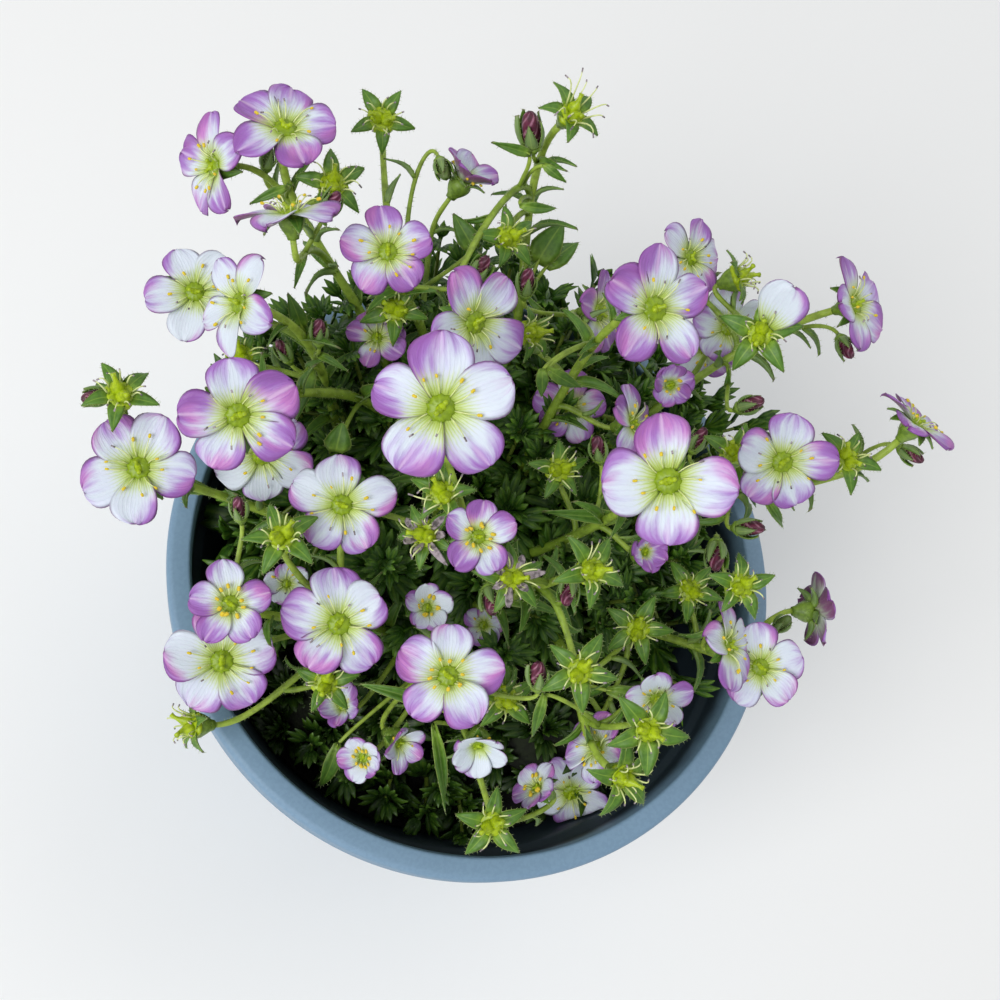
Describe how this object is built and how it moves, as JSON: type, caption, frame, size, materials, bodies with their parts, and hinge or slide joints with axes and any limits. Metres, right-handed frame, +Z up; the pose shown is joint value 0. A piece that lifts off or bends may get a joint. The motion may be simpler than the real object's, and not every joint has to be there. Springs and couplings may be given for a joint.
{
  "type": "potted mossy saxifrage",
  "caption": "Mossy saxifrage in flower in a round tapered grower's pot: a dark mat of lobed leaves in compost, carrying pale lilac-veined flowers and spent heads on thin stalks.",
  "frame": {"origin": "centre of the pot's foot, on the surface it stands on", "axes": "+Z up along the pot's axis; +X is the picture's right and +Y its up, seen from above"},
  "size_m": [0.1371, 0.1208, 0.1498],
  "materials": {
    "pot_plastic": "thin injection-moulded polypropylene, blue-grey, satin to matt, with a rolled lip",
    "compost": "damp peat and bark compost, almost black, crumbly and rough",
    "leaf": "deep green lobed leaves, satin above and greyer below, slightly hairy",
    "stalk": "olive to pale green stems with fine sticky hairs",
    "petal": "thin matt petals, cool white with lilac margins, fine veins and a yellow-green base",
    "sepal": "green sepals with pale hairy margins and dark tips round a shiny seed vessel"
  },
  "bodies": {
    "root": {"pot": "pot_plastic", "compost": "compost", "leaf_cushion_middle": "leaf", "leaf_cushion_left": "leaf", "leaf_cushion_right": "leaf", "flower_stalk_01": "stalk", "open_flower_01a": "petal", "open_flower_01b": "petal", "flower_stalk_02": "stalk", "open_flower_02a": "petal", "open_flower_02b": "petal", "flower_stalk_03": "stalk", "open_flower_03a": "petal", "open_flower_03b": "petal", "flower_stalk_04": "stalk", "open_flower_04a": "petal", "open_flower_04b": "petal", "flower_stalk_05": "stalk", "open_flower_05a": "petal", "spent_flower_05b": "sepal", "flower_stalk_06": "stalk", "open_flower_06a": "petal", "open_flower_06b": "petal", "open_flower_06c": "petal", "flower_stalk_07": "stalk", "open_flower_07a": "petal", "open_flower_07b": "petal", "flower_stalk_08": "stalk", "open_flower_08a": "petal", "spent_flower_08b": "sepal", "flower_stalk_09": "stalk", "spent_flower_09a": "sepal", "open_flower_09b": "petal", "flower_stalk_10": "stalk", "open_flower_10a": "petal", "spent_flower_10b": "sepal", "flower_stalk_11": "stalk", "open_flower_11a": "petal", "spent_flower_11b": "sepal", "flower_stalk_12": "stalk", "open_flower_12a": "petal", "open_flower_12b": "petal", "spent_flower_12c": "sepal", "flower_stalk_13": "stalk", "spent_flower_13a": "sepal", "spent_flower_13b": "sepal", "flower_stalk_14": "stalk", "spent_flower_14a": "sepal", "spent_flower_14b": "sepal", "flower_stalk_15": "stalk", "open_flower_15a": "petal", "spent_flower_15b": "sepal", "flower_stalk_16": "stalk", "open_flower_16a": "petal", "open_flower_16b": "petal", "spent_flower_16c": "sepal", "flower_stalk_17": "stalk", "open_flower_17a": "petal", "open_flower_17b": "petal", "spent_flower_17c": "sepal"}
  },
  "joints": []
}
